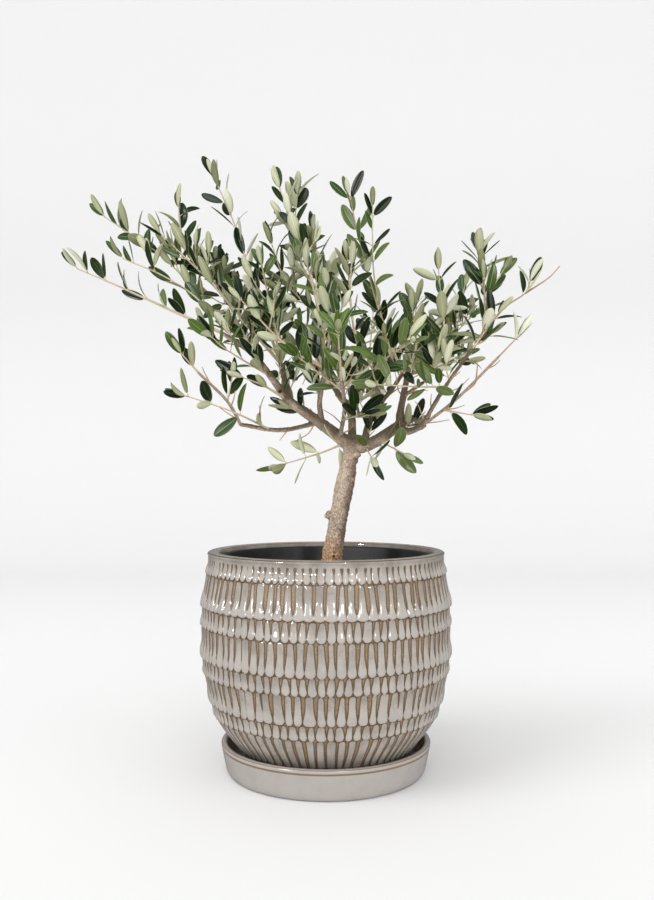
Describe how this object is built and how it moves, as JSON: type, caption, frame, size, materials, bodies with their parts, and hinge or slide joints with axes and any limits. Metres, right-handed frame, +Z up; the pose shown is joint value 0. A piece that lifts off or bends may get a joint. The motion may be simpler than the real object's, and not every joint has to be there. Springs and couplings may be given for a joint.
{
  "type": "potted olive tree",
  "caption": "Young olive on one leaning stem with an open, spreading crown of narrow leaves, in a ribbed glazed pot that stands on a round saucer.",
  "frame": {"origin": "middle of the saucer's flat underside, where the pot's turning axis meets the floor", "axes": "+Z up along the pot's axis; -Y towards the front; +X to the right, the way the stem leans"},
  "size_m": [0.5545, 0.3687, 0.7032],
  "materials": {
    "pot_glaze": "grey-cream glossy glaze pooled over raised ribs, breaking to matt brown in the grooves",
    "saucer_glaze": "the same glaze, smooth, with a brown line where it breaks over the rim",
    "nursery_plastic": "moulded, slightly dusty charcoal",
    "soil": "bark-based potting mix with small stones",
    "bark": "grey-tan young bark with fine cracks and small pores",
    "leaves": "leathery, dark green above and silver-grey below"
  },
  "bodies": {
    "root": {"back_bough": "bark", "back_left_bough": "bark", "back_right_fork": "bark", "centre_bough": "bark", "cover_pot": "pot_glaze", "front_bough": "bark", "inner_left_bough": "bark", "inner_right_bough": "bark", "inner_right_fork": "bark", "leaves_back_centre": "leaves", "leaves_back_inner": "leaves", "leaves_back_left": "leaves", "leaves_back_low": "leaves", "leaves_back_right": "leaves", "leaves_centre_front": "leaves", "leaves_centre_tall": "leaves", "leaves_front_centre": "leaves", "leaves_front_far_right": "leaves", "leaves_front_left": "leaves", "leaves_front_right": "leaves", "leaves_left_crown": "leaves", "leaves_left_far": "leaves", "leaves_left_high": "leaves", "leaves_left_inner": "leaves", "leaves_left_mid": "leaves", "leaves_left_outer": "leaves", "leaves_left_tall": "leaves", "leaves_low_left_end": "leaves", "leaves_low_left_twig": "leaves", "leaves_low_sprig": "leaves", "leaves_middle_back": "leaves", "leaves_middle_right": "leaves", "leaves_middle_tall": "leaves", "leaves_right_far": "leaves", "leaves_right_high": "leaves", "leaves_right_inner": "leaves", "leaves_right_low_end": "leaves", "leaves_right_low_side": "leaves", "leaves_right_middle": "leaves", "leaves_right_short": "leaves", "leaves_right_tall": "leaves", "leaves_under_fork": "leaves", "leaves_under_left_arm": "leaves", "leaves_under_right": "leaves", "left_arm": "bark", "left_bough": "bark", "left_upright": "bark", "low_left_arm": "bark", "low_left_bough": "bark", "nursery_pot": "nursery_plastic", "right_arm": "bark", "right_bough": "bark", "right_low_arm": "bark", "right_lower_bough": "bark", "right_side_twig": "bark", "right_stub": "bark", "right_upright": "bark", "saucer": "saucer_glaze", "soil": "soil", "trunk": "bark"}
  },
  "joints": []
}
